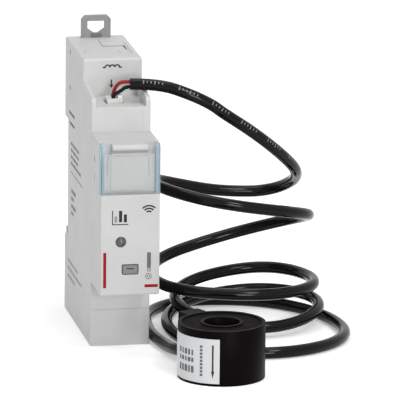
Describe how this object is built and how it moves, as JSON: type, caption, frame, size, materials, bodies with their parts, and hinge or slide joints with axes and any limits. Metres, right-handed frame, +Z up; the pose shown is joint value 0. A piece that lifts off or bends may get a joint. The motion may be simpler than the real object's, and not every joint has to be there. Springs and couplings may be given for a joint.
{
  "type": "energy meter",
  "caption": "Slim rail-mounted energy meter with hinged label window, reset button, rail latch and a closed ring current sensor on a coiled lead.",
  "frame": {"origin": "centre of the module's base face, midway between its sides and between its rear and its lower front", "axes": "+Z up along the module, -Y out of its front, +Y into the wall or board that carries the rail, +X to the module's right as seen from the front"},
  "size_m": [0.0795, 0.1007, 0.09],
  "materials": {
    "housing": "fine matte",
    "rivet": "matte",
    "cover": "fine matte",
    "window": "clear, slightly blue",
    "card": "plain paper",
    "lens": "smoked",
    "led": "clear",
    "button": "matte",
    "switch": "matte",
    "latch": "matte",
    "board": "solder mask",
    "shield": "tinned",
    "ferrite": "sintered",
    "can": "sleeved",
    "socket": "matte",
    "terminal": "matte",
    "clamp": "plated",
    "plug": "matte",
    "red_insulation": "satin",
    "black_insulation": "satin",
    "jacket": "satin",
    "sensor_plastic": "satin",
    "resin": "cast resin",
    "core_alloy": "coated",
    "enamel": "enamelled wire",
    "foil": "silver film"
  },
  "bodies": {
    "meter": {"left_shell": "housing", "right_shell": "housing", "case_rivets": "rivet", "front_cover": "cover", "label_card": "card", "led_lens": "lens", "status_led": "led", "reset_switch": "switch", "main_board": "board", "radio_module": "shield", "supply_transformer": "ferrite", "smoothing_capacitor": "can", "coil_socket": "socket", "terminal_block": "terminal", "supply_clamps": "clamp", "coil_plug": "plug", "red_core": "red_insulation", "black_core": "black_insulation", "sensor_cable_lead": "jacket", "sensor_cable_coil": "jacket", "sensor_cable_tail": "jacket", "sensor_case": "sensor_plastic", "sensor_potting": "resin", "sensor_core": "core_alloy", "sensor_winding": "enamel", "sensor_label": "foil"},
    "window": {"label_window": "window"},
    "button": {"reset_button": "button"},
    "latch": {"rail_latch": "latch"}
  },
  "joints": [
    {"name": "window_hinge", "type": "hinge", "parent": "meter", "child": "window", "pos_m": [0, -0.0403, 0.0634], "axis": [-1, 0, 0], "range_deg": [0, 100]},
    {"name": "button_press", "type": "slide", "parent": "meter", "child": "button", "axis": [0, 1, 0], "range_m": [0, 0.0005], "stiffness_N_per_m": 300},
    {"name": "latch_pull", "type": "slide", "parent": "meter", "child": "latch", "axis": [0, 0, 1], "range_m": [0, 0.0028], "stiffness_N_per_m": 900}
  ]
}
